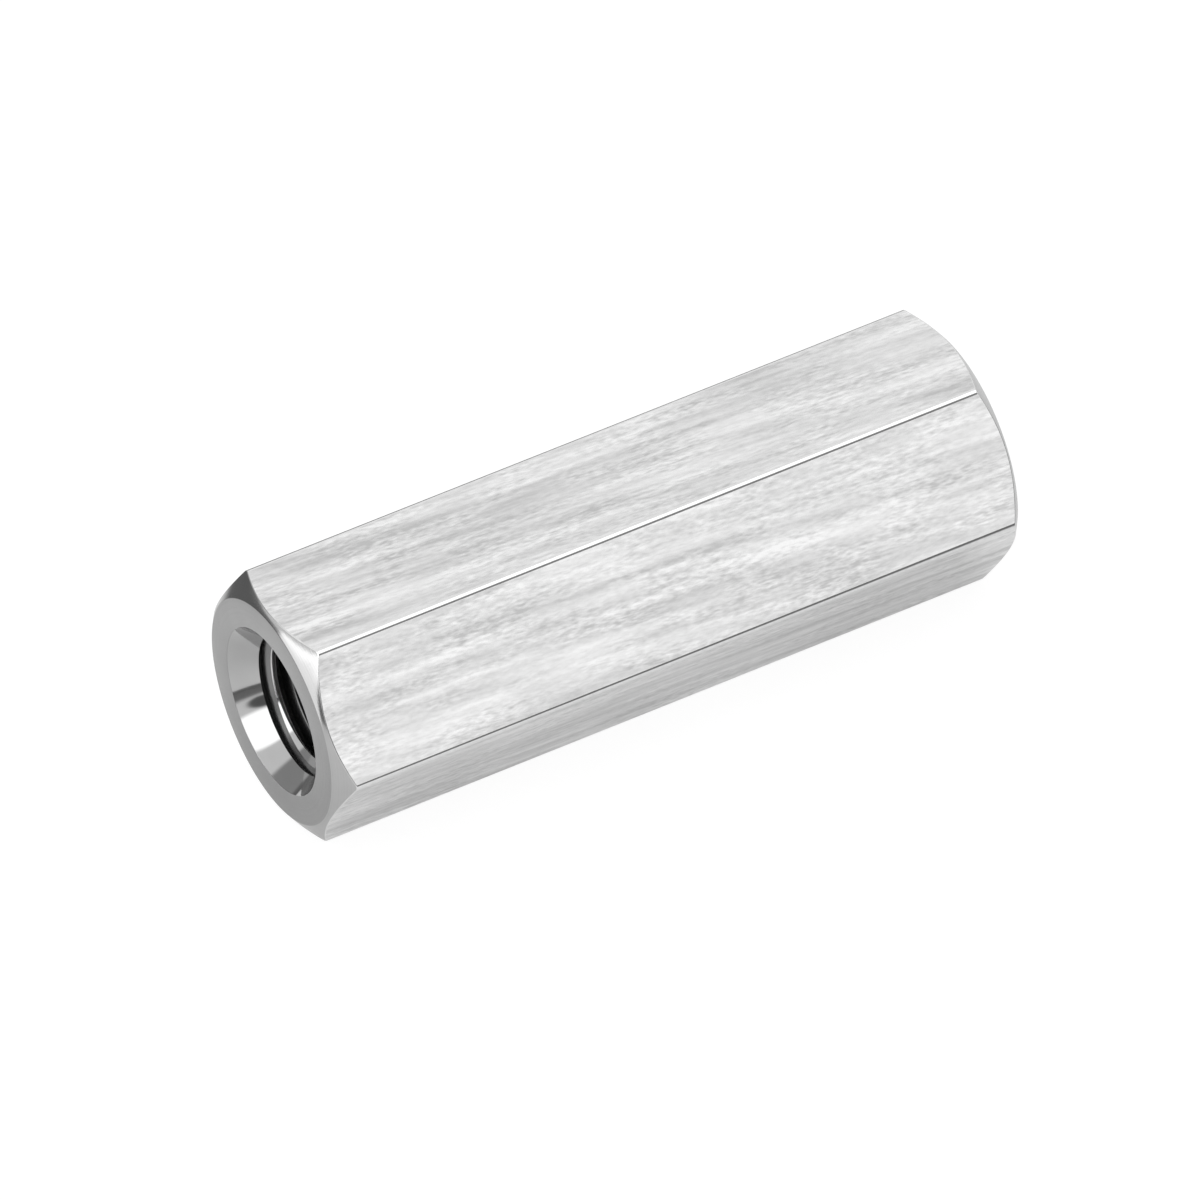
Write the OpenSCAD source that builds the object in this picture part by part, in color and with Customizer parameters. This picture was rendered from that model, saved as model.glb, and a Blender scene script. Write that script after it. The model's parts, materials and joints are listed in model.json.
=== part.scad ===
// Long hexagonal coupling nut: two threaded rods screw into it, one from each end.
// The nut lies on one flat with its thread axis along X. The origin is under the
// middle of the nut, on the surface that it lies on.

/* [Body] */
// Length from end face to end face
length = 50; // [20:1:90]
// Distance across two opposite flats
across_flats = 16; // [15:0.5:24]
// How far the six long edges are drawn back from a sharp corner
edge_blunting = 0.05; // [0.02:0.01:0.3]

/* [End chamfers] */
// How far inside the flats the chamfer begins on the end face
chamfer_inset = 0.35; // [0.1:0.05:0.8]
// Slope of the chamfer, measured from the end face
chamfer_angle = 35; // [15:1:45]

/* [Thread] */
// Nominal diameter of the thread, measured at its roots
thread_d = 10; // [8:0.5:10.5]
// Pitch of the thread
pitch = 1.25; // [0.75:0.25:1.5]
// Diameter of the countersink where it opens on the end face
mouth_d = 11.4; // [10.8:0.1:12.6]
// Included angle of the countersink
countersink_angle = 60; // [60:1:120]

/* [Hidden] */
// Facets of a full turn in the preview
$fn = 96;
// How far a cutter reaches past the face that it cuts
overcut = 1;
// Sides of the bar, and the angle from one of its corners to the middle of a flat
side_count = 6;
corner_to_flat = 180 / side_count;
// A thread with 60 degree flanks is cut to 5/8 of the height of its full triangle
thread_depth = 5 / 8 * pitch * cos(30);
// The bore stays plain: its wall stands where the crests of the thread end
bore_d = thread_d - 2 * thread_depth;
end_face_r = across_flats / 2 - chamfer_inset;
edge_r = across_flats / 2 / cos(corner_to_flat) - edge_blunting;

// The hexagonal bar, with sharp edges and square ends
module bar() {
    linear_extrude(height = length, center = true)
        circle(d = across_flats / cos(corner_to_flat), $fn = side_count);
}

// Outline that turning leaves: it blunts the long edges and chamfers both ends
module turned_outline() {
    end_z = length / 2;
    chamfer_z = end_z - (edge_r - end_face_r) * tan(chamfer_angle);
    rotate_extrude()
        polygon([
            [0, -end_z],
            [end_face_r, -end_z],
            [edge_r, -chamfer_z],
            [edge_r, chamfer_z],
            [end_face_r, end_z],
            [0, end_z]
        ]);
}

// Cone that leads a rod into the upper end of the bore
module countersink() {
    slope = tan(countersink_angle / 2);
    mouth_r = mouth_d / 2;
    tip_depth = mouth_r / slope;
    translate([0, 0, length / 2 - tip_depth])
        cylinder(h = tip_depth + overcut, r1 = 0, r2 = mouth_r + overcut * slope);
}

// The nut stood on end, with its middle at the origin
module upright_nut() {
    difference() {
        intersection() {
            bar();
            turned_outline();
        }
        cylinder(h = length + 2 * overcut, d = bore_d, center = true);
        countersink();
        mirror([0, 0, 1])
            countersink();
    }
}

module coupling_nut() {
    color("silver")
        translate([0, 0, across_flats / 2])
            rotate([90, 0, 90])
                upright_nut();
}

coupling_nut();
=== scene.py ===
"""A long hexagonal coupling nut of bright drawn steel, lying on one flat."""

import json
import math

import bmesh
import bpy
from bpy.props import FloatProperty, FloatVectorProperty, IntProperty, PointerProperty
from mathutils import Matrix, Vector


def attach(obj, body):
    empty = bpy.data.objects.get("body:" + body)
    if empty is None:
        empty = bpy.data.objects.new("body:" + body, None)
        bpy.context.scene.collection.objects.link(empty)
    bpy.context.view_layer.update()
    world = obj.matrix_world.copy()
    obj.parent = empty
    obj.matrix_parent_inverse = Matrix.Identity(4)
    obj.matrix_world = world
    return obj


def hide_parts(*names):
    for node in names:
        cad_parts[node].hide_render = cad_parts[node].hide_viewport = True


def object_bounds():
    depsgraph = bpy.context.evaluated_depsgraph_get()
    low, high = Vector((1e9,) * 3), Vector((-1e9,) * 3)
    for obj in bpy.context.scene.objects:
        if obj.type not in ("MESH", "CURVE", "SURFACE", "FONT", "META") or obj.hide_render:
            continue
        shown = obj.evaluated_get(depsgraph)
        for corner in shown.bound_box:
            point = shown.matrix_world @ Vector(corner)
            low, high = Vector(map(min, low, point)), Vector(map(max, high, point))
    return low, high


bl_info = {
    "name": "Coupling Nut",
    "version": (1, 0, 0),
    "blender": (4, 5, 0),
    "location": "View3D > Sidebar > Coupling Nut",
    "description": "Models a long hexagonal nut with a real thread, and a small studio to show it in",
    "category": "Add Mesh",
}

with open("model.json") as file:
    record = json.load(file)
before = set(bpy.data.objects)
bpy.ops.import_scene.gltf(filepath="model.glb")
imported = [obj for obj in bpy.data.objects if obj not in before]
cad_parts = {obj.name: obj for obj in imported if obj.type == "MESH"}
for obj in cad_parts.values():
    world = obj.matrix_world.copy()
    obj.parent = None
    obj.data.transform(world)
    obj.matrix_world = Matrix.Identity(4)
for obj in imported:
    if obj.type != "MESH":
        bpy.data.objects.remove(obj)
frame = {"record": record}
CAD_LOW, CAD_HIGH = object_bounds()
NODE = "coupling_nut"
MM = 0.001
HOLE = next(m for m in frame["record"]["mounts"] if m["kind"] == "threaded_hole")

# The surfaces of the nut, in the order of its material slots
FLAT, EDGE, END_FACE, CHAMFER, COUNTERSINK, THREAD, CREST = range(7)

# Height of the thread's axis over the flat that the nut lies on
AXIS_HEIGHT = 8 * MM
# Steps of a full turn on the lathe, and how near two points are to be one
LATHE_STEPS = 288
MERGE_DISTANCE = 1e-4 * MM
# How far the bar and the cutters reach past the nut's end faces
SPARE = 2 * MM
# Edges that bend more than this stay sharp
SHARP_ANGLE = math.radians(27)

# The drawn grain: its turn round the bar, in radians a metre, and how strongly each size of it shows
GRAIN_TWIST = -8.0
DRAWN_ROUGHNESS = 0.2
BAND_TONE = 1.3
STREAK_TONE = 0.95
DASH_TONE = 1.6
# Length and breadth of the bands, streaks and dashes, and of the patches that the dashes gather in
BAND_SIZE = (18 * MM, 1.3 * MM)
STREAK_SIZE = (7 * MM, 0.55 * MM)
DASH_SIZE = (0.7 * MM, 0.2 * MM)
PATCH_SIZE = (6 * MM, 1.8 * MM)
# The bore's colour is darkened, as painted shade, nearer the nut's middle than the first of these, and left
# as it is past the second
PAINTED_SHADE_TO = 21.6 * MM
UNSHADED_FROM = 22.1 * MM
# How far bump in the steel reaches, and the size of its soft clouds
BUMP_REACH = 0.01 * MM
CLOUD_SIZE = 2.2 * MM

# The nut's middle stands this far right of and above the picture's middle, as shares of its width
PICTURE_OFFSET = (15.45 / 1200, 25.3 / 1200)


def length_property(name, description, default):
    """A size of the nut, in metres, shown in the scene's own unit."""
    return FloatProperty(
        name=name, description=description, default=default, min=0.0, unit="LENGTH", precision=5
    )


class NutSizes(bpy.types.PropertyGroup):
    """Sizes of the nut. The defaults come from the frame where it holds them."""

    length: length_property("Length", "From end face to end face", CAD_HIGH.x - CAD_LOW.x)
    across_flats: length_property(
        "Across flats", "Distance between two opposite flats", CAD_HIGH.z - CAD_LOW.z
    )
    edge_radius: length_property("Edge radius", "Radius that rounds the long edges", 0.45 * MM)
    crest_rounding: length_property(
        "Crest rounding", "Radius that rounds the corners of the thread's crests", 0.1 * MM
    )
    lip_radius: length_property("Lip radius", "How far the turned edges are broken", 0.07 * MM)
    chamfer_inset: length_property(
        "Chamfer inset", "How far inside the flats the chamfer begins", 0.35 * MM
    )
    chamfer_angle: FloatProperty(
        name="Chamfer angle", description="Slope of the chamfer, measured from the end face",
        default=math.radians(35), unit="ROTATION",
    )
    bore_radius: length_property(
        "Crest radius", "Radius to the crests of the thread", HOLE["dims"]["r_mm"] * MM
    )
    root_radius: length_property("Root radius", "Radius to the roots of the thread", 5.0 * MM)
    pitch: length_property("Pitch", "How far the thread moves on in one turn", 1.25 * MM)
    thread_lead_in: length_property(
        "Lead in", "Depth of the thread's first root, at the angle where it starts", 1.75 * MM
    )
    thread_start_angle: FloatProperty(
        name="Start angle", description="Angle about the axis, from +Y, at which the lead in is measured",
        default=math.radians(-45), unit="ROTATION",
    )
    mouth_radius: length_property(
        "Mouth radius", "Radius of the countersink on the end face", 5.7 * MM
    )
    countersink_half_angle: FloatProperty(
        name="Countersink half angle", description="Angle between the countersink and the axis",
        default=math.radians(30), unit="ROTATION",
    )
    turn_steps: IntProperty(
        name="Steps a turn", description="How many steps make a full turn of the thread", default=96
    )


class NutFinish(bpy.types.PropertyGroup):
    """Colours and gloss of the nut's surfaces."""

    drawn_colour: FloatVectorProperty(
        name="Drawn flats", description="Colour of the drawn flats", subtype="COLOR",
        size=3, default=(0.82, 0.82, 0.82),
    )
    turned_colour: FloatVectorProperty(
        name="Turned ends", description="Colour of the turned end faces and chamfers", subtype="COLOR",
        size=3, default=(0.52, 0.52, 0.52),
    )
    # The thread's dark colour is painted shade for its grooves; the crests keep the drawn colour
    shaded_thread_colour: FloatVectorProperty(
        name="Thread", description="Colour of the cut thread", subtype="COLOR",
        size=3, default=(0.24, 0.24, 0.24),
    )


class StudioSettings(bpy.types.PropertyGroup):
    """Camera and lights of the studio."""

    azimuth: FloatProperty(
        name="Azimuth", description="Camera's angle round the nut, from its front",
        default=math.radians(-28.351), unit="ROTATION",
    )
    elevation: FloatProperty(
        name="Elevation", description="Camera's height above the floor, as an angle",
        default=math.radians(41.475), unit="ROTATION",
    )
    roll: FloatProperty(
        name="Roll", description="Camera's turn about its own view",
        default=math.radians(-2.054), unit="ROTATION",
    )
    lens: FloatProperty(name="Lens", description="Focal length in millimetres", default=1200.0)
    picture_width: length_property(
        "Picture width", "Width of what the camera sees, at the nut", 75.91 * MM
    )


def camera_back(azimuth, elevation):
    """Unit vector from the nut to a camera at these angles."""
    return Vector((
        math.sin(azimuth) * math.cos(elevation),
        -math.cos(azimuth) * math.cos(elevation),
        math.sin(elevation),
    ))


# ---------------------------------------------------------------- shapes


def new_object(name, bm, surface=None):
    """A linked object that holds bm, with every face of one surface where that is given."""
    bmesh.ops.recalc_face_normals(bm, faces=bm.faces)
    if surface is not None:
        for face in bm.faces:
            face.material_index = surface
    mesh = bpy.data.meshes.new(name)
    bm.to_mesh(mesh)
    bm.free()
    obj = bpy.data.objects.new(name, mesh)
    bpy.context.scene.collection.objects.link(obj)
    return obj


def turned(profile):
    """A closed solid turned about the X axis. profile lists (x, radius) from axis to axis."""
    bm = bmesh.new()
    verts = [bm.verts.new((x, radius, 0)) for x, radius in profile]
    edges = [bm.edges.new(pair) for pair in zip(verts, verts[1:])]
    bmesh.ops.spin(
        bm, geom=verts + edges, cent=(0, 0, 0), axis=(1, 0, 0), angle=math.tau, steps=LATHE_STEPS,
        use_merge=True, use_duplicate=False,
    )
    bmesh.ops.remove_doubles(bm, verts=bm.verts, dist=MERGE_DISTANCE)
    bmesh.ops.dissolve_degenerate(bm, edges=bm.edges, dist=MERGE_DISTANCE)
    return bm


def hexagonal_bar(sizes):
    """The drawn bar, a little longer than the nut at each end, with rounded long edges."""
    bm = bmesh.new()
    turn = math.radians(30)
    bmesh.ops.create_circle(
        bm, cap_ends=True, segments=6, radius=sizes.across_flats / 2 / math.cos(turn),
        matrix=Matrix.Rotation(math.radians(90), 4, "Y"),
    )
    half = sizes.length / 2 + SPARE
    bmesh.ops.translate(bm, verts=bm.verts, vec=(-half, 0, 0))
    out = bmesh.ops.extrude_face_region(bm, geom=bm.faces[:])
    far_verts = [v for v in out["geom"] if isinstance(v, bmesh.types.BMVert)]
    bmesh.ops.translate(bm, verts=far_verts, vec=(2 * half, 0, 0))
    long_edges = [e for e in bm.edges if abs(e.verts[0].co.x - e.verts[1].co.x) > half]
    rounded = bmesh.ops.bevel(
        bm, geom=long_edges, offset=sizes.edge_radius * math.tan(turn), offset_type="OFFSET",
        segments=6, profile=0.5, affect="EDGES", material=-1,
    )
    for face in rounded["faces"]:
        face.material_index = EDGE
    return bm


def turned_outline(sizes):
    """What the lathe leaves: square end faces with a chamfer round each."""
    face_r = sizes.across_flats / 2 - sizes.chamfer_inset
    clear_r = 0.7 * sizes.across_flats
    end = sizes.length / 2
    depth = (clear_r - face_r) * math.tan(sizes.chamfer_angle)
    near_half = [(-end, 0), (-end, face_r), (depth - end, clear_r)]
    bm = turned(near_half + [(-x, radius) for x, radius in reversed(near_half)])
    bm.normal_update()
    for face in bm.faces:
        face.material_index = END_FACE if abs(face.normal.x) > 0.99 else CHAMFER
    return bm


def countersink(sizes, side):
    """The cone that opens one end of the bore. side is -1 or 1."""
    slope = math.tan(sizes.countersink_half_angle)
    end = sizes.length / 2
    points = [
        (end - sizes.mouth_radius / slope, 0),
        (end + SPARE, sizes.mouth_radius + SPARE * slope),
        (end + SPARE, 0),
    ]
    return turned([(side * x, radius) for x, radius in points])


def thread_void(sizes):
    """The space that a rod fills: a core with one ridge that winds along it."""
    pitch = sizes.pitch
    steps = sizes.turn_steps
    # Between a crest of a quarter and a root of an eighth of the pitch lie two equal flanks
    flank = 5 / 16 * pitch
    root_at = pitch / 8 + flank
    # A quarter of a pitch of crest, rounded into the flanks on both sides
    rounding = []
    for degrees in (0, 20, 40, 60):
        angle = math.radians(degrees)
        along = pitch / 8 + sizes.crest_rounding * (math.sin(angle) - math.tan(math.radians(30)))
        rounding.append((along, sizes.bore_radius + sizes.crest_rounding * (1 - math.cos(angle))))
    near_half = [(0, sizes.bore_radius), *rounding, (root_at, sizes.root_radius)]
    profile = near_half + [(pitch - along, radius) for along, radius in reversed(near_half)]
    first_root = sizes.thread_lead_in - sizes.length / 2
    start = first_root - root_at - 3 * pitch
    turns = math.ceil(sizes.length / pitch) + 5
    bm = bmesh.new()
    angle = sizes.thread_start_angle
    verts = [
        bm.verts.new((start + x, radius * math.cos(angle), radius * math.sin(angle)))
        for x, radius in profile
    ]
    edges = [bm.edges.new(pair) for pair in zip(verts, verts[1:])]
    bmesh.ops.spin(
        bm, geom=verts + edges, cent=(0, 0, 0), axis=(1, 0, 0), dvec=(pitch / steps, 0, 0),
        angle=math.tau, steps=steps, use_merge=False, use_duplicate=False,
    )
    # One turn, set out again and again a pitch apart
    one_turn = bm.verts[:] + bm.edges[:] + bm.faces[:]
    for turn in range(1, turns):
        copy = bmesh.ops.duplicate(bm, geom=one_turn)
        moved = [v for v in copy["geom"] if isinstance(v, bmesh.types.BMVert)]
        bmesh.ops.translate(bm, verts=moved, vec=(turn * pitch, 0, 0))
    bmesh.ops.remove_doubles(bm, verts=bm.verts, dist=1e-3 * MM)
    # Each open end is drawn in to a point on the axis
    for side in (-1, 1):
        rim = [e for e in bm.edges if e.is_boundary and e.verts[0].co.x * side > 0]
        tip = sum(v.co.x for e in rim for v in e.verts) / (2 * len(rim))
        drawn = bmesh.ops.extrude_edge_only(bm, edges=rim)
        ring = [v for v in drawn["geom"] if isinstance(v, bmesh.types.BMVert)]
        bmesh.ops.pointmerge(bm, verts=ring, merge_co=(tip, 0, 0))
    return bm


def combine(target, tool, operation):
    """Cuts target with tool, or keeps what they share, and removes tool."""
    modifier = target.modifiers.new("cut", "BOOLEAN")
    modifier.object = tool
    modifier.operation = operation
    modifier.solver = "MANIFOLD"
    graph = bpy.context.evaluated_depsgraph_get()
    made = bpy.data.meshes.new_from_object(target.evaluated_get(graph))
    target.modifiers.clear()
    spent = [target.data, tool.data]
    target.data = made
    bpy.data.objects.remove(tool)
    for mesh in spent:
        bpy.data.meshes.remove(mesh)


# ---------------------------------------------------------------- finishes


class Nodes:
    """A short way to write a node tree."""

    def __init__(self, tree):
        self.tree = tree
        tree.nodes.clear()

    def add(self, kind, inputs=None, **settings):
        """A new node. inputs maps a socket's name or number to a value, or to the socket that feeds it."""
        node = self.tree.nodes.new(kind)
        for name, value in settings.items():
            setattr(node, name, value)
        for name, value in (inputs or {}).items():
            if isinstance(value, bpy.types.NodeSocket):
                self.tree.links.new(value, node.inputs[name])
            else:
                node.inputs[name].default_value = value
        return node


def steel(name, colour, roughness):
    """A bare steel material: (material, its nodes, its shader)."""
    material = bpy.data.materials.new(name)
    material.use_nodes = True
    nodes = Nodes(material.node_tree)
    shader = nodes.add("ShaderNodeBsdfPrincipled", {
        "Base Color": (*colour, 1.0), "Metallic": 1.0, "Roughness": roughness,
    })
    nodes.add("ShaderNodeOutputMaterial", {"Surface": shader.outputs[0]})
    return material, nodes, shader


def across(nodes, coords, pattern_size):
    """Noise in streaks whose length and breadth are pattern_size, from 0 to 1."""
    along, broad = pattern_size
    streaks = nodes.add("ShaderNodeMapping", {0: coords, "Scale": (1 / along, 1 / broad, 1 / broad)})
    noise = nodes.add("ShaderNodeTexNoise", {
        "Vector": streaks.outputs[0], "Scale": 1.0, "Detail": 1.0, "Roughness": 0.6,
    })
    return noise.outputs[0]


def mixed_colour(nodes, factor, dark, light):
    """The colour between dark and light, by a factor from 0 to 1."""
    mix = nodes.add("ShaderNodeMix", data_type="RGBA", clamp_factor=True)
    for socket, value in zip((mix.inputs[0], mix.inputs[6], mix.inputs[7]), (factor, dark, light)):
        if isinstance(value, bpy.types.NodeSocket):
            nodes.tree.links.new(value, socket)
        else:
            socket.default_value = value
    return mix.outputs[2]


def shade_of(colour, amount):
    """The colour made lighter or darker, with its alpha."""
    return (*[min(1.0, c * amount) for c in colour], 1.0)


def maths(nodes, operation, first, second=0.0, third=0.0):
    """The result of one sum on numbers or sockets."""
    node = nodes.add("ShaderNodeMath", {0: first, 1: second, 2: third}, operation=operation)
    return node.outputs[0]


def drawn_steel(name, colour):
    """Drawn and tumbled flats: soft bands and short dashes that wind slowly round the bar."""
    material, nodes, shader = steel(name, colour, DRAWN_ROUGHNESS)
    coords = nodes.add("ShaderNodeTexCoord").outputs["Object"]
    x = nodes.add("ShaderNodeSeparateXYZ", {0: coords}).outputs[0]
    twist = maths(nodes, "MULTIPLY", x, GRAIN_TWIST)
    wound = nodes.add("ShaderNodeVectorRotate", {
        "Vector": coords, "Center": (0, 0, AXIS_HEIGHT), "Angle": twist,
    }, rotation_type="X_AXIS").outputs[0]
    bands = across(nodes, wound, BAND_SIZE)
    streaks = across(nodes, wound, STREAK_SIZE)
    dashes = across(nodes, wound, DASH_SIZE)
    # The dashes gather in patches
    patches = across(nodes, wound, PATCH_SIZE)
    gather = nodes.add("ShaderNodeMapRange", {0: patches, 1: 0.4, 2: 0.6, 3: 0.35, 4: 1.0})
    dashes = maths(nodes, "MULTIPLY_ADD", maths(nodes, "SUBTRACT", dashes, 0.5), gather.outputs[0], 0.5)
    tone = maths(nodes, "MULTIPLY_ADD", bands, BAND_TONE, 0.5 - 0.5 * BAND_TONE)
    tone = maths(nodes, "ADD", tone, maths(nodes, "MULTIPLY_ADD", streaks, STREAK_TONE, -0.5 * STREAK_TONE))
    tone = maths(nodes, "ADD", tone, maths(nodes, "MULTIPLY_ADD", dashes, DASH_TONE, -0.5 * DASH_TONE))
    painted = mixed_colour(nodes, tone, shade_of(colour, 0.7), shade_of(colour, 1.3))
    nodes.tree.links.new(painted, shader.inputs["Base Color"])
    height = maths(nodes, "MULTIPLY_ADD", dashes, 0.4, streaks)
    bump = nodes.add("ShaderNodeBump", {
        "Height": height, "Strength": 0.35, "Distance": BUMP_REACH,
    })
    nodes.tree.links.new(bump.outputs[0], shader.inputs["Normal"])
    return material


def turned_steel(name, colour, roughness, mark_size, mark_depth, bore_shade=1.0):
    """Lathe marks round the axis, as fine as mark_size. Deep in the bore the colour is multiplied by the
    last argument, a painted shade for the dark inside of the bore.
    """
    material, nodes, shader = steel(name, colour, roughness)
    coords = nodes.add("ShaderNodeTexCoord").outputs["Object"]
    to_axis = (0, 0, -AXIS_HEIGHT)
    centred = nodes.add("ShaderNodeVectorMath", {0: coords, 1: to_axis}, operation="ADD").outputs[0]
    radial = nodes.add("ShaderNodeVectorMath", {0: centred, 1: (0, 1, 1)}, operation="MULTIPLY").outputs[0]
    radius = nodes.add("ShaderNodeVectorMath", {0: radial}, operation="LENGTH").outputs["Value"]
    x = nodes.add("ShaderNodeSeparateXYZ", {0: coords}).outputs[0]
    outward = maths(nodes, "MULTIPLY", radius, 1 / mark_size)
    place = maths(nodes, "ADD", outward, maths(nodes, "MULTIPLY", x, 0.7 / mark_size))
    marks = nodes.add("ShaderNodeTexNoise", {
        "W": place, "Scale": 1.0, "Detail": 2.0,
    }, noise_dimensions="1D")
    cloud = nodes.add("ShaderNodeTexNoise", {"Vector": centred, "Scale": 1 / CLOUD_SIZE, "Detail": 3.0})
    marked = maths(nodes, "MULTIPLY", marks.outputs[0], 0.5)
    tone = maths(nodes, "MULTIPLY_ADD", cloud.outputs[0], 0.5, marked)
    painted = mixed_colour(nodes, tone, shade_of(colour, 0.85), shade_of(colour, 1.15))
    # Painted shade: deeper in the bore the colour is scaled darker, in place of the shade that falls inside
    # it
    if bore_shade < 1.0:
        from_middle = maths(nodes, "ABSOLUTE", x)
        unshaded = nodes.add("ShaderNodeMapRange", {0: from_middle, 1: PAINTED_SHADE_TO, 2: UNSHADED_FROM})
        dark = nodes.add("ShaderNodeVectorMath", {0: painted, "Scale": bore_shade}, operation="SCALE")
        painted = mixed_colour(nodes, unshaded.outputs[0], dark.outputs[0], painted)
    nodes.tree.links.new(painted, shader.inputs["Base Color"])
    bump = nodes.add("ShaderNodeBump", {
        "Height": marks.outputs[0], "Strength": mark_depth, "Distance": BUMP_REACH,
    })
    nodes.tree.links.new(bump.outputs[0], shader.inputs["Normal"])
    return material


def finishes(finish):
    """The nut's materials, in the order of its surfaces."""
    return [
        drawn_steel("drawn_steel", finish.drawn_colour),
        turned_steel("edge_steel", finish.drawn_colour, 0.12, 0.3 * MM, 0.0),
        turned_steel("faced_steel", shade_of(finish.turned_colour, 0.74)[:3], 0.22, 0.12 * MM, 0.1),
        turned_steel("chamfer_steel", finish.turned_colour, 0.15, 0.12 * MM, 0.15),
        turned_steel("countersink_steel", finish.turned_colour, 0.08, 0.25 * MM, 0.08),
        # thread_steel's dark colour is painted shade for the grooves, and both bore materials are darkened
        # deep in the bore as painted shade
        turned_steel("thread_steel", finish.shaded_thread_colour, 0.25, 0.2 * MM, 0.1, 0.6),
        turned_steel("crest_steel", finish.drawn_colour, 0.3, 0.2 * MM, 0.1, 0.2),
    ]


# ---------------------------------------------------------------- operators


class COUPLINGNUT_OT_make_nut(bpy.types.Operator):
    """Model the nut: bar, turned ends, countersinks and thread"""

    bl_idname = "coupling_nut.make_nut"
    bl_label = "Make Nut"

    def execute(self, context):
        sizes = context.scene.nut_sizes
        nut = new_object("nut", hexagonal_bar(sizes))
        for material in finishes(context.scene.nut_finish):
            nut.data.materials.append(material)
        combine(nut, new_object("lathe", turned_outline(sizes)), "INTERSECT")
        for side in (-1, 1):
            combine(nut, new_object("cone", countersink(sizes, side), COUNTERSINK), "DIFFERENCE")
        combine(nut, new_object("tap", thread_void(sizes), THREAD), "DIFFERENCE")
        finish_mesh(nut, sizes)
        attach(nut, "root")
        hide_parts(NODE)
        return {"FINISHED"}


def break_edges(bm, between, radius, surface):
    """Rounds the edges between the named pairs of surfaces, as tumbling does."""
    chosen = [
        e for e in bm.edges
        if e.is_manifold and {f.material_index for f in e.link_faces} in between
    ]
    lips = bmesh.ops.bevel(
        bm, geom=chosen, offset=radius, offset_type="OFFSET", segments=3, profile=0.5,
        affect="EDGES", material=-1, clamp_overlap=True,
    )
    for face in lips["faces"]:
        face.material_index = surface


def finish_mesh(nut, sizes):
    """Breaks the edges, marks the crests, puts the nut on its flat and shades it."""
    mesh = nut.data
    bm = bmesh.new()
    bm.from_mesh(mesh)
    bmesh.ops.remove_doubles(bm, verts=bm.verts, dist=MERGE_DISTANCE)
    bmesh.ops.dissolve_degenerate(bm, edges=bm.edges, dist=MERGE_DISTANCE)
    # Crests take the bright crest material; flanks and roots keep the dark thread colour, painted shade for
    # the grooves
    for face in bm.faces:
        reach = max(v.co.yz.length for v in face.verts)
        if face.material_index == THREAD and reach < sizes.bore_radius + 0.6 * sizes.crest_rounding:
            face.material_index = CREST
    break_edges(bm, ({CHAMFER, FLAT}, {CHAMFER, EDGE}), sizes.lip_radius, EDGE)
    break_edges(bm, ({CHAMFER, END_FACE}, {END_FACE, COUNTERSINK}), sizes.lip_radius / 2, END_FACE)
    bmesh.ops.translate(bm, verts=bm.verts, vec=(0, 0, sizes.across_flats / 2))
    bm.to_mesh(mesh)
    bm.free()
    mesh.shade_smooth()
    mesh.set_sharp_from_angle(angle=SHARP_ANGLE)
    weighted = nut.modifiers.new("even_normals", "WEIGHTED_NORMAL")
    weighted.keep_sharp = True
    weighted.weight = 50


class COUPLINGNUT_OT_make_studio(bpy.types.Operator):
    """Make the floor, the world, the lamps and the camera"""

    bl_idname = "coupling_nut.make_studio"
    bl_label = "Make Studio"

    def execute(self, context):
        studio = context.scene.nut_studio
        make_floor()
        make_world(context.scene)
        make_lamps()
        make_camera(context.scene, studio)
        context.scene.view_settings.view_transform = "Standard"
        return {"FINISHED"}


def make_floor():
    """A pale floor, seen as white with a faint shadow, and darker away from the nut in reflections."""
    bm = bmesh.new()
    bmesh.ops.create_circle(bm, cap_ends=True, segments=64, radius=0.6)
    floor = new_object("floor", bm)
    material = bpy.data.materials.new("pale_floor")
    material.use_nodes = True
    nodes = Nodes(material.node_tree)
    coords = nodes.add("ShaderNodeTexCoord").outputs["Object"]
    path = nodes.add("ShaderNodeLightPath")
    # Past these two lines, one behind and one in front, the floor is in the dark for reflections
    dark = 0.0
    for direction, start, end in (((-0.6, 0.8, 0), 36, 46), ((0.3, -0.95, 0), 22, 32)):
        distance = nodes.add(
            "ShaderNodeVectorMath", {0: coords, 1: direction}, operation="DOT_PRODUCT"
        ).outputs["Value"]
        past = nodes.add("ShaderNodeMapRange", {0: distance, 1: start * MM, 2: end * MM})
        dark = maths(nodes, "MAXIMUM", past.outputs[0], dark)
    dark = maths(nodes, "MULTIPLY", dark, maths(nodes, "SUBTRACT", 1.0, path.outputs["Is Camera Ray"]))
    colour = mixed_colour(nodes, dark, (0.72, 0.72, 0.72, 1), (0.16, 0.16, 0.16, 1))
    diffuse = nodes.add("ShaderNodeBsdfDiffuse", {"Color": colour})
    white = nodes.add("ShaderNodeEmission", {"Color": (1, 1, 1, 1), "Strength": 1.15})
    near = maths(nodes, "SUBTRACT", 1.0, dark)
    glossy = maths(nodes, "MULTIPLY", maths(nodes, "MULTIPLY", path.outputs["Is Glossy Ray"], near), 0.25)
    seen = maths(nodes, "ADD", maths(nodes, "MULTIPLY", path.outputs["Is Camera Ray"], 0.78), glossy)
    mix = nodes.add("ShaderNodeMixShader", {0: seen, 1: diffuse.outputs[0], 2: white.outputs[0]})
    nodes.add("ShaderNodeOutputMaterial", {"Surface": mix.outputs[0]})
    floor.data.materials.append(material)


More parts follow.
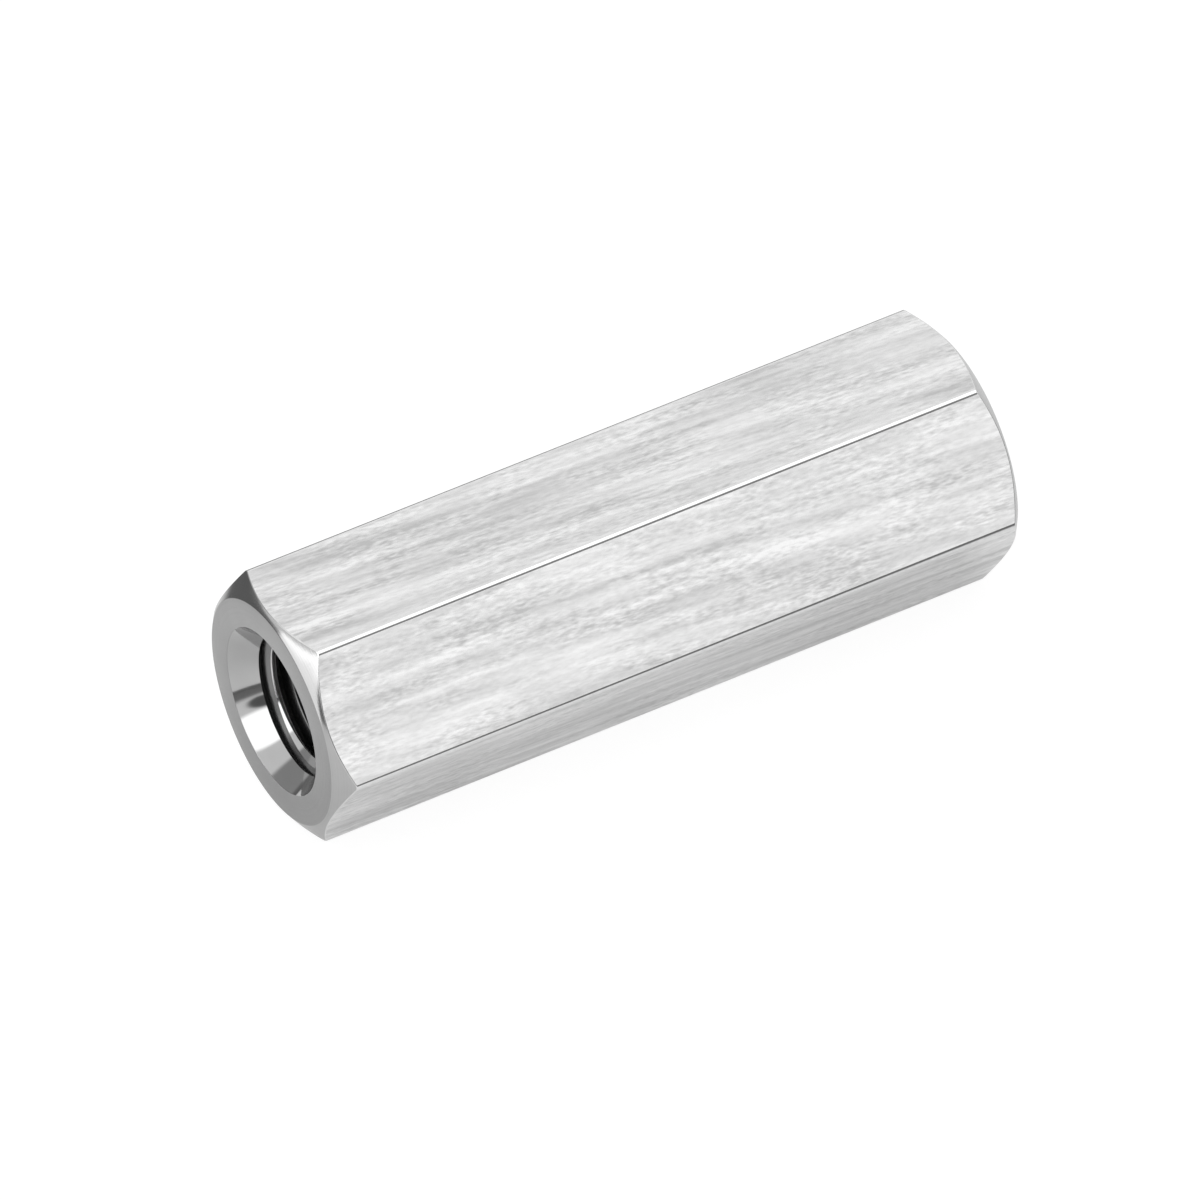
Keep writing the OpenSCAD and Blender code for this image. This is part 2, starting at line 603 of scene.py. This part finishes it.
# What stands round the nut: (direction, angle where it is whole, angle where it ends, brightness)
STUDIO_CARDS = (
    ((0.356, -0.77, 0.53), 13, 18, 0.22),
    ((-0.30, -0.93, 0.20), 13, 18, 0.12),
    ((0.356, -0.903, 0.24), 5, 10, 1.08),
    ((-0.29, 0.85, 0.44), 20, 27, 0.35),
    ((-0.617, -0.72, 0.30), 6, 9, 0.12),
    ((-0.62, -0.335, 0.705), 20, 25, 2.0),
    ((0.356, -0.244, 0.902), 12, 18, 1.7),
)
# The level of the studio by height: (height as the sine of the angle, brightness)
STUDIO_LEVELS = ((-1.0, 0.2), (0.0, 0.2), (0.1, 0.22), (0.17, 0.9), (1.0, 0.9))


def make_world(scene):
    """White to the camera. The nut's reflections see a studio with darker and brighter cards in it."""
    world = bpy.data.worlds.new("studio")
    scene.world = world
    world.use_nodes = True
    nodes = Nodes(world.node_tree)
    coords = nodes.add("ShaderNodeTexCoord").outputs["Generated"]
    z = nodes.add("ShaderNodeSeparateXYZ", {0: coords}).outputs[2]
    height = nodes.add("ShaderNodeMapRange", {0: z, 1: -1.0, 2: 1.0})
    ramp = nodes.add("ShaderNodeValToRGB", {0: height.outputs[0]})
    stops = ramp.color_ramp.elements
    for index, (sine, level) in enumerate(STUDIO_LEVELS):
        position = (sine + 1) / 2
        if index == 0:
            stop = stops[0]
        elif index == len(STUDIO_LEVELS) - 1:
            stop = stops[-1]
        else:
            stop = stops.new(position)
        stop.position = position
        stop.color = (level, level, level, 1)
    light = ramp.outputs[0]
    for direction, whole, end, level in STUDIO_CARDS:
        facing = nodes.add(
            "ShaderNodeVectorMath", {0: coords, 1: Vector(direction).normalized()}, operation="DOT_PRODUCT"
        ).outputs["Value"]
        card = nodes.add("ShaderNodeMapRange", {
            0: facing, 1: math.cos(math.radians(end)), 2: math.cos(math.radians(whole)),
        }, interpolation_type="SMOOTHSTEP")
        light = mixed_colour(nodes, card.outputs[0], light, (level, level, level, 1))
    lit = nodes.add("ShaderNodeBackground", {0: light, 1: 1.0})
    white = nodes.add("ShaderNodeBackground", {0: (1, 1, 1, 1), 1: 1.0})
    path = nodes.add("ShaderNodeLightPath")
    mix = nodes.add("ShaderNodeMixShader", {
        0: path.outputs["Is Camera Ray"], 1: lit.outputs[0], 2: white.outputs[0],
    })
    nodes.add("ShaderNodeOutputWorld", {0: mix.outputs[0]})


def make_lamp(name, direction, distance, size, radiance, target=(0, 0, AXIS_HEIGHT)):
    """A rectangular soft lamp in that direction from target, with an even radiance."""
    light = bpy.data.lights.new(name, "AREA")
    light.shape = "RECTANGLE"
    light.size, light.size_y = size
    light.energy = radiance * math.pi * size[0] * size[1]
    lamp = bpy.data.objects.new(name, light)
    bpy.context.scene.collection.objects.link(lamp)
    direction = Vector(direction).normalized()
    lamp.location = Vector(target) + direction * distance
    lamp.rotation_mode = "QUATERNION"
    lamp.rotation_quaternion = direction.to_track_quat("Z", "Y")
    lamp.visible_camera = False
    return lamp


def make_lamps():
    """The lamp over the nut, and a low one that only its reflections show."""
    overhead = make_lamp("overhead_lamp", (0.2, 0.25, 1.0), 0.5, (0.35, 0.25), 0.6)
    # The flats see the studio overhead, and would turn white with the lamp on top of it
    overhead.visible_glossy = False
    # Seen only as a reflection, low at the near end
    glow = make_lamp(
        "end_lamp", (-1.0, 0.0, 0.0), 35 * MM, (30 * MM, 22 * MM), 1.2, target=(-25 * MM, 5 * MM, 15 * MM)
    )
    glow.visible_diffuse = False


def make_camera(scene, studio):
    """A camera so far off that its view is nearly parallel."""
    data = bpy.data.cameras.new("camera")
    data.lens = studio.lens
    distance = studio.lens / data.sensor_width * studio.picture_width
    camera = bpy.data.objects.new("camera", data)
    scene.collection.objects.link(camera)
    back = camera_back(studio.azimuth, studio.elevation)
    turn = (-back).to_track_quat("-Z", "Y").to_matrix() @ Matrix.Rotation(studio.roll, 3, "Z")
    offset = turn @ Vector((*PICTURE_OFFSET, 0)) * studio.picture_width
    centre = (CAD_LOW + CAD_HIGH) / 2
    camera.matrix_world = Matrix.Translation(centre + back * distance - offset) @ turn.to_4x4()
    data.clip_start = distance * 0.1
    data.clip_end = distance * 2
    scene.camera = camera


class COUPLINGNUT_PT_sidebar(bpy.types.Panel):
    """Lists the sizes, colours and studio settings, with the operators that use them"""

    bl_label = "Coupling Nut"
    bl_idname = "COUPLINGNUT_PT_sidebar"
    bl_space_type = "VIEW_3D"
    bl_region_type = "UI"
    bl_category = "Coupling Nut"

    def draw(self, context):
        for title, group, operator in (
            ("Nut", context.scene.nut_sizes, "coupling_nut.make_nut"),
            ("Finish", context.scene.nut_finish, None),
            ("Studio", context.scene.nut_studio, "coupling_nut.make_studio"),
        ):
            box = self.layout.box()
            box.label(text=title)
            for name in group.__annotations__:
                box.prop(group, name)
            if operator:
                box.operator(operator)


CLASSES = (
    NutSizes, NutFinish, StudioSettings,
    COUPLINGNUT_OT_make_nut, COUPLINGNUT_OT_make_studio, COUPLINGNUT_PT_sidebar,
)


def register():
    """Adds the classes, and their settings to the scene."""
    for cls in CLASSES:
        bpy.utils.register_class(cls)
    bpy.types.Scene.nut_sizes = PointerProperty(type=NutSizes)
    bpy.types.Scene.nut_finish = PointerProperty(type=NutFinish)
    bpy.types.Scene.nut_studio = PointerProperty(type=StudioSettings)


def unregister():
    """Takes away what register added."""
    for name in ("nut_studio", "nut_finish", "nut_sizes"):
        delattr(bpy.types.Scene, name)
    for cls in reversed(CLASSES):
        bpy.utils.unregister_class(cls)


def main():
    """Makes the nut and its studio."""
    register()
    bpy.ops.coupling_nut.make_nut()
    bpy.ops.coupling_nut.make_studio()


if __name__ == "__main__":
    main()
